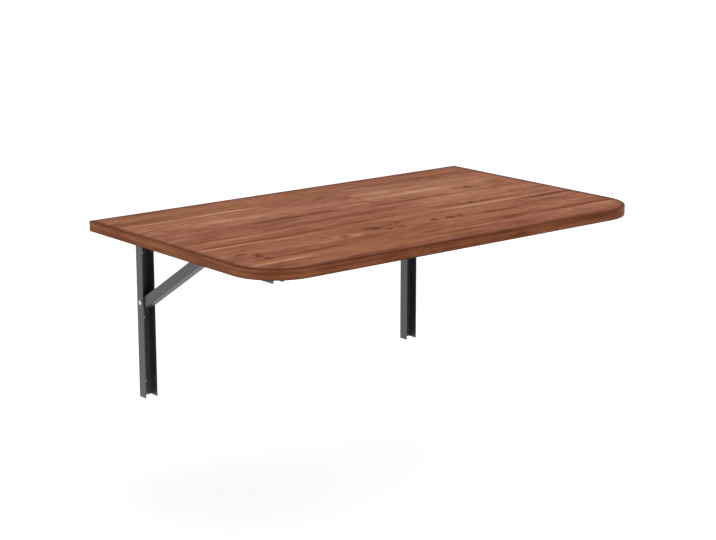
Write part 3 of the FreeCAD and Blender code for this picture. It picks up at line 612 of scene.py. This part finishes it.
def floor():
    """A wide pale floor. It looks white except where the table shades it, and clear from below."""
    mesh = bpy.data.meshes.new("floor")
    shape = bmesh.new()
    bmesh.ops.create_grid(shape, x_segments=FLOOR_CELLS, y_segments=FLOOR_CELLS, size=FLOOR_REACH)
    shape.to_mesh(mesh)
    shape.free()
    piece = bpy.data.objects.new("floor", mesh)
    piece.location.z = FLOOR_HEIGHT
    bpy.context.scene.collection.objects.link(piece)
    material, tree = new_material("pale_floor")
    matte = add(tree, "ShaderNodeBsdfDiffuse", {"Color": colour(FLOOR_COLOUR)})
    glow_here = rise(tree, length(tree, place(tree)), FLOOR_GLOW_REACH, FLOOR_GLOW)
    strength = calc(tree, "MULTIPLY", shows_background(tree), glow_here)
    glow = add(tree, "ShaderNodeEmission", {"Color": WHITE, "Strength": strength})
    lit = add(tree, "ShaderNodeAddShader", {0: matte, 1: glow})
    clear = add(tree, "ShaderNodeBsdfTransparent", {})
    under = calc(tree, "MULTIPLY", add(tree, "ShaderNodeLightPath", {}, "Is Camera Ray"),
                 add(tree, "ShaderNodeNewGeometry", {}, "Backfacing"))
    add_output(tree, add(tree, "ShaderNodeMixShader", {0: under, 1: lit, 2: clear}))
    mesh.materials.append(material)


def studio():
    """White surroundings that light the table softly, and large soft lamps."""
    world = bpy.data.worlds.new("studio")
    bpy.context.scene.world = world
    world.use_nodes = True
    tree = world.node_tree
    tree.nodes.clear()
    strength = calc(tree, "MULTIPLY_ADD", shows_background(tree), 1.0 - SURROUNDINGS, SURROUNDINGS)
    shader = add(tree, "ShaderNodeBackground", {"Color": WHITE, "Strength": strength})
    add_output(tree, shader, "ShaderNodeOutputWorld")
    for name, where, width, watts in LAMPS:
        lamp(name, where, width, watts)


def lamp(name, where, width, watts):
    """A square soft lamp that looks at the middle of the table."""
    data = bpy.data.lights.new(name, "AREA")
    data.size = width
    data.energy = watts
    piece = bpy.data.objects.new(name, data)
    piece.location = where
    aim = (cad_box[0] + cad_box[1]) / 2 - Vector(where)
    piece.rotation_euler = aim.to_track_quat("-Z", "Y").to_euler()
    bpy.context.scene.collection.objects.link(piece)


def camera():
    data = bpy.data.cameras.new("camera")
    data.sensor_fit = "HORIZONTAL"
    data.sensor_width = CAMERA_SENSOR
    data.lens = CAMERA_LENS
    data.clip_start, data.clip_end = CAMERA_CLIP
    piece = bpy.data.objects.new("camera", data)
    piece.location = CAMERA_PLACE
    piece.rotation_euler = (math.radians(CAMERA_TILT), 0.0, math.radians(CAMERA_TURN))
    bpy.context.scene.collection.objects.link(piece)
    bpy.context.scene.camera = piece


# ---------------------------------------------------------------- turned and threaded pieces

ROUND_STEPS = 48              # points to one turn of a round piece
HEXAGON_STEPS = 72            # and of a hexagon, a multiple of 12, so that its corners are points
THREAD_ROWS = 8               # rows of points to one turn of a thread
THREAD_TIP = 0.04             # the share of its radius that a pointed thread has at the tip
SHARP_ANGLE = math.radians(35)


def spun(rings, steps=ROUND_STEPS, closed=False):
    """A mesh turned about Z from rings of (radius, height), each a number or a function of the
    angle. It is a solid with flat ends, or a ring whose last row meets the first."""
    shape = bmesh.new()
    rows = []
    for radius, height in rings:
        row = []
        for number in range(steps):
            angle = 2 * math.pi * number / steps
            out = radius(angle) if callable(radius) else radius
            up = height(angle) if callable(height) else height
            row.append(shape.verts.new((out * math.cos(angle), out * math.sin(angle), up)))
        rows.append(row)
    return walled(shape, rows, closed)


def walled(shape, rows, closed=False):
    """The mesh between rows of points, with flat ends, or with its last row joined to its first."""
    for low, high in zip(rows, rows[1:] + rows[:1] if closed else rows[1:]):
        for number in range(len(low)):
            after = (number + 1) % len(low)
            shape.faces.new((low[number], low[after], high[after], high[number]))
    if not closed:
        shape.faces.new(rows[0])
        shape.faces.new(rows[-1])
    return finished(shape)


def finished(shape):
    """The mesh of the points and faces in hand, smooth except across sharp edges."""
    bmesh.ops.recalc_face_normals(shape, faces=shape.faces)
    mesh = bpy.data.meshes.new("mesh")
    shape.to_mesh(mesh)
    shape.free()
    mesh.shade_smooth()
    mesh.set_sharp_from_angle(angle=SHARP_ANGLE)
    return mesh


def hexagon(flats):
    """The radius of a hexagon of that size over its flats, as a function of the angle."""
    return lambda angle: flats / 2 / math.cos((angle + math.pi / 6) % (math.pi / 3) - math.pi / 6)


def chamfer(flats, edge, level, way):
    """The height at which a hexagon's sides end, where a 30 degree cone cuts them by a face."""
    return lambda angle: level + way * (hexagon(flats)(angle) - edge) * math.tan(math.pi / 6)


def thread(major, depth, pitch, start, stop, point=0.0):
    """Rings of a thread between two heights, drawn in to a point over the last stretch."""
    def ring(height):
        left = min(1.0, (stop - height) / point + THREAD_TIP) if point else 1.0

        def radius(angle):
            turn = (height / pitch - angle / (2 * math.pi)) % 1.0
            return (major - depth * abs(2 * turn - 1)) * left
        return radius, height
    count = math.ceil((stop - start) / pitch * THREAD_ROWS)
    return [ring(start + (stop - start) * number / count) for number in range(count + 1)]


def piece_of(name, mesh, body, slot, standing_for=None):
    """A piece of the table from a mesh in its frame, riding on a body."""
    mesh.name = name
    mesh.materials.append(looks[slot])
    piece = bpy.data.objects.new(name, mesh)
    bpy.context.scene.collection.objects.link(piece)
    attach(piece, body)
    if standing_for:
        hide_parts(standing_for)
    return piece


def joined(meshes):
    """One mesh of them all."""
    shape = bmesh.new()
    for mesh in meshes:
        shape.from_mesh(mesh)
    whole = bpy.data.meshes.new("mesh")
    shape.to_mesh(whole)
    shape.free()
    return whole


def cut_with(mesh, cutter):
    """The mesh less the cutter."""
    holders = [bpy.data.objects.new("holder", part) for part in (mesh, cutter)]
    for holder in holders:
        bpy.context.scene.collection.objects.link(holder)
    modifier = holders[0].modifiers.new("cut", "BOOLEAN")
    modifier.object = holders[1]
    modifier.operation = "DIFFERENCE"
    modifier.solver = "EXACT"
    graph = bpy.context.evaluated_depsgraph_get()
    result = bpy.data.meshes.new_from_object(holders[0].evaluated_get(graph))
    for holder in holders:
        bpy.data.objects.remove(holder)
    result.set_sharp_from_angle(angle=SHARP_ANGLE)
    return result


# ---------------------------------------------------------------- bolts and nuts

BOLT_FLATS = 10 * MM
BOLT_THREAD = (3 * MM, 0.55 * MM, 1.0 * MM)      # outer radius, depth and pitch
BOLT_THREAD_LENGTH = 15 * MM
BOLT_TIP = 0.6 * MM
NUT_HEX = 4.4 * MM
NUT_BORE = 3.02 * MM
NUT_COLLAR = 4.1 * MM
COLLAR_BEND = 0.3             # where the collar's lip turns in, as a share of its thickness
INSERT_RADIUS = 3.5 * MM
INSERT_GAP = 0.02 * MM        # between the nylon ring and the nut
INSERT_OUTER = 0.8            # how far below the lip the ring's slope starts, as a share of it
INSERT_INNER = 0.5            # and where the slope ends
CONE_EDGE = 4.8 * MM          # the flat circle that the cone leaves on a hexagon's face


def pivot_frame(side):
    """The brace's pivot axis, from the bolt head's underside on the rail inwards, and the rail's
    width."""
    low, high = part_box(f"wall_rail_{side}")
    middle = sum(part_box(f"brace_washers_{side}"), Vector()) / 2
    outward = -1 if side == "left" else 1
    face = low.x if side == "left" else high.x
    turned = Matrix.Rotation(-outward * math.pi / 2, 4, "Y")
    return Matrix.Translation((face, middle.y, middle.z)) @ turned, high.x - low.x


def pivot_bolt(side):
    """A hexagon bolt with a turned-off head and a thread that shows past the nut."""
    matrix = pivot_frame(side)[0]
    low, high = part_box(f"brace_bolt_{side}")
    face = matrix.translation.x
    head = face - low.x if side == "left" else high.x - face
    tip = high.x - low.x - head
    sides = hexagon(BOLT_FLATS)
    radius = BOLT_THREAD[0]
    rings = [(CONE_EDGE, -head), (sides, chamfer(BOLT_FLATS, CONE_EDGE, -head, 1)), (sides, 0.0),
             (radius, 0.0), (radius, tip - BOLT_THREAD_LENGTH)]
    rings += thread(*BOLT_THREAD, tip - BOLT_THREAD_LENGTH, tip - BOLT_TIP)
    rings.append((radius - 2 * BOLT_TIP, tip))
    mesh = spun(rings, HEXAGON_STEPS)
    mesh.transform(matrix)
    piece_of(f"pivot_bolt_{side}", mesh, "wall_frame", "zinc", f"brace_bolt_{side}")


def pivot_nut(side):
    """A locking nut whose rolled collar holds a nylon ring."""
    matrix, width = pivot_frame(side)
    low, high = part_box(f"brace_nut_{side}")
    top = width + high.x - low.x
    shoulder = width + NUT_HEX
    sides = hexagon(BOLT_FLATS)
    lip = NUT_COLLAR - INSERT_RADIUS
    bend = lip * COLLAR_BEND
    rings = [
        (NUT_BORE, width), (CONE_EDGE, width),
        (sides, chamfer(BOLT_FLATS, CONE_EDGE, width, 1)),
        (sides, chamfer(BOLT_FLATS, CONE_EDGE, shoulder, -1)),
        (NUT_COLLAR, shoulder), (NUT_COLLAR, top - lip), (NUT_COLLAR - bend, top - bend),
        (NUT_COLLAR - lip, top), (INSERT_RADIUS, top - lip), (INSERT_RADIUS, shoulder),
        (NUT_BORE, shoulder)]
    mesh = spun(rings, HEXAGON_STEPS, closed=True)
    mesh.transform(matrix)
    piece_of(f"lock_nut_{side}", mesh, "wall_frame", "zinc", f"brace_nut_{side}")
    inside = INSERT_RADIUS - INSERT_GAP
    rings = [(NUT_BORE, shoulder + INSERT_GAP), (inside, shoulder + INSERT_GAP),
             (inside, top - lip * INSERT_OUTER), (NUT_BORE + bend, top - lip * INSERT_INNER),
             (NUT_BORE, top - lip)]
    mesh = spun(rings, closed=True)
    mesh.transform(matrix)
    piece_of(f"lock_ring_{side}", mesh, "wall_frame", "nylon")


# ---------------------------------------------------------------- wood screws

SCREW_HEAD = 2.6 * MM
SCREW_HEAD_RADIUS = 4 * MM
SCREW_HEAD_RINGS = 8
SCREW_THREAD = (2 * MM, 0.55 * MM, 1.6 * MM)
SCREW_SHANK = 0.8             # the plain shank's radius, as a share of the thread's
SCREW_PLAIN = 2.5 * MM
SCREW_POINT = 4 * MM
SCREW_GAP = 10 * MM           # more than this along Y parts one screw from the next
SCREW_TURN = 0.7              # the first screw's angle
SCREW_TURN_STEP = 1.9         # and how much further each next one is turned
DRIVE_REACH = 2.35 * MM       # from the screw's axis to the end of a wing of the cross
DRIVE_HALF = 0.5 * MM
DRIVE_DEPTH = 1.9 * MM
DRIVE_MOUTH = 1.15            # the cross's size at its opening, as a share of those
DRIVE_BOTTOM = 0.45           # and at its bottom


def solids_along(node):
    """The box of each solid of a node whose solids lie in a row along Y."""
    points = sorted((vertex.co for vertex in nodes[node].data.vertices), key=lambda point: point.y)
    boxes = []
    for point in points:
        if not boxes or point.y - boxes[-1][1].y > SCREW_GAP:
            boxes.append([point.copy(), point.copy()])
        low, high = boxes[-1]
        boxes[-1] = [Vector(map(min, low, point)), Vector(map(max, high, point))]
    return boxes


def cross_cutter():
    """The two crossing wings of the tapered recess that a driver fits, about height 0, with the
    wide end down."""
    wings = []
    for turn in (0.0, math.pi / 2):
        shape = bmesh.new()
        bmesh.ops.create_cube(shape, size=2.0)
        for vertex in shape.verts:
            x, y, z = vertex.co
            share = DRIVE_BOTTOM if z > 0 else DRIVE_MOUTH
            vertex.co = Vector((x * DRIVE_REACH * share, y * DRIVE_HALF * share, z * DRIVE_DEPTH))
        bmesh.ops.rotate(shape, verts=shape.verts, matrix=Matrix.Rotation(turn, 3, "Z"))
        wings.append(finished(shape))
    return wings


def screw_mesh(tip):
    """A pan head wood screw that points up to that height, its head's underside at height 0."""
    dome = (SCREW_HEAD_RADIUS ** 2 + SCREW_HEAD ** 2) / (2 * SCREW_HEAD)
    half = math.asin(SCREW_HEAD_RADIUS / dome)
    rings = []
    for number in range(1, SCREW_HEAD_RINGS + 1):
        angle = half * number / SCREW_HEAD_RINGS
        rings.append((dome * math.sin(angle), dome - SCREW_HEAD - dome * math.cos(angle)))
    rings.append((SCREW_THREAD[0] * SCREW_SHANK, 0.0))
    rings += thread(*SCREW_THREAD, SCREW_PLAIN, tip, SCREW_POINT)
    mesh = spun(rings)
    for cutter in cross_cutter():
        cutter.transform(Matrix.Translation((0, 0, -SCREW_HEAD)))
        mesh = cut_with(mesh, cutter)
    return mesh


def arm_screw_set(side):
    """The arm's wood screws, each turned in to its own angle."""
    meshes = []
    for number, (low, high) in enumerate(solids_along(f"arm_screws_{side}")):
        mesh = screw_mesh(high.z - low.z - SCREW_HEAD)
        middle = (low + high) / 2
        turned = Matrix.Rotation(SCREW_TURN + SCREW_TURN_STEP * number, 4, "Z")
        mesh.transform(Matrix.Translation((middle.x, middle.y, low.z + SCREW_HEAD)) @ turned)
        meshes.append(mesh)
    piece_of(f"wood_screws_{side}", joined(meshes), "leaf", "zinc", f"arm_screws_{side}")


# ---------------------------------------------------------------- springs and welds

TUBE_STEPS = 12               # points round a wire or a weld
SPRING_WIRE = 0.5 * MM
SPRING_TURNS = 7.0
SPRING_CLOSED = 1.0           # turns that lie flat at each end
SPRING_ROWS = 28              # rows of points to one turn
WELD_RADIUS = 1.5 * MM
WELD_RIPPLE = 0.9 * MM
WELD_RIPPLE_HEIGHT = 0.09
WELD_ROWS = 60
WELD_START = 4 * MM           # in from the catch plate's front end
WELD_STOP = 1 * MM            # and from its back end
WELD_SINK = 0.2 * MM
WELD_BLUNTNESS = 8            # the power that keeps a weld full until near its ends
WELD_END = 0.05               # the square of what is left of its radius there
LEVEL = 0.01                  # a face's normal may lean so far to the side and still be level
ACROSS = Vector((1, 0, 0))    # the way from side to side of the table


def swept(path, radius_at, side):
    """A closed tube along the points, its radius a function of the share of the way. The side is
    a direction that the path never takes."""
    shape = bmesh.new()
    rows = []
    for number, point in enumerate(path):
        ahead = (path[min(number + 1, len(path) - 1)] - path[max(number - 1, 0)]).normalized()
        across = side.cross(ahead).normalized()
        up = ahead.cross(across).normalized()
        radius = radius_at(number / (len(path) - 1))
        row = []
        for step in range(TUBE_STEPS):
            angle = 2 * math.pi * step / TUBE_STEPS
            out = math.cos(angle) * across + math.sin(angle) * up
            row.append(shape.verts.new(point + radius * out))
        rows.append(row)
    return walled(shape, rows)


def brace_normal(side):
    """The way the brace's open side faces, from its broadest face that runs across it."""
    faces = [face for face in nodes[f"brace_{side}"].data.polygons if abs(face.normal.x) < LEVEL]
    normal = max(faces, key=lambda face: face.area).normal.copy()
    return normal if normal.z > 0 else -normal


def lever_spring(side):
    """The release spring: closed coils at both ends, open ones between."""
    node = f"latch_spring_{side}"
    up = brace_normal(side)
    along = up.cross(ACROSS)
    spots = [(point.co.x, point.co.dot(along), point.co.dot(up))
             for point in nodes[node].data.vertices]
    lows, highs = [min(row) for row in zip(*spots)], [max(row) for row in zip(*spots)]
    middle = [(low + high) / 2 for low, high in zip(lows, highs)]
    coil = (highs[0] - lows[0]) / 2 - SPRING_WIRE
    run = highs[2] - lows[2] - 2 * SPRING_WIRE
    flat = 2 * SPRING_WIRE * SPRING_CLOSED
    open_turns = SPRING_TURNS - 2 * SPRING_CLOSED
    count = int(SPRING_TURNS * SPRING_ROWS)
    path = []
    for number in range(count + 1):
        turns = SPRING_TURNS * number / count
        opened = min(max(turns - SPRING_CLOSED, 0.0), open_turns)
        risen = 2 * SPRING_WIRE * (turns - opened) + (run - 2 * flat) * opened / open_turns
        angle = 2 * math.pi * turns
        path.append(ACROSS * (middle[0] + coil * math.cos(angle))
                    + along * (middle[1] + coil * math.sin(angle))
                    + up * (lows[2] + SPRING_WIRE + risen))
    mesh = swept(path, lambda share: SPRING_WIRE, side=up)
    piece = piece_of(f"release_spring_{side}", mesh, f"strut_{side}", "spring_steel", node)
    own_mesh(piece)


def catch_welds(side):
    """A weld along each side of the catch plate's leg, rippled as it was laid."""
    low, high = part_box(f"catch_plate_{side}")
    start, stop = low.y + WELD_START, high.y - WELD_STOP

    def radius(share):
        ripple = math.sin(2 * math.pi * share * (stop - start) / WELD_RIPPLE)
        full = math.sqrt(max(1 - (2 * share - 1) ** WELD_BLUNTNESS, WELD_END))
        return WELD_RADIUS * (1 + WELD_RIPPLE_HEIGHT * ripple) * full
    for name, x in (("inner", high.x), ("outer", low.x)):
        path = [Vector((x, start + (stop - start) * number / WELD_ROWS, high.z - WELD_SINK))
                for number in range(WELD_ROWS + 1)]
        mesh = swept(path, radius, side=ACROSS)
        piece_of(f"catch_weld_{name}_{side}", mesh, "leaf", "powder_coat")


# ---------------------------------------------------------------- dressing

def dress():
    """Gives each carried-over piece the material of its slot, and returns them all by slot."""
    by_slot = {"wood_board": walnut(), "edge_band": edging(), "powder_coat": powder_coat(),
               "zinc": zinc(), "spring_steel": spring_steel(), "nylon": nylon()}
    for piece in nodes.values():
        for number, old in enumerate(piece.data.materials):
            piece.data.materials[number] = by_slot[old.name]
    return by_slot


bpy.context.scene.view_settings.view_transform = "Standard"
looks = dress()
for side in SIDES:
    pivot_bolt(side)
    pivot_nut(side)
    arm_screw_set(side)
    lever_spring(side)
    catch_welds(side)
floor()
studio()
camera()
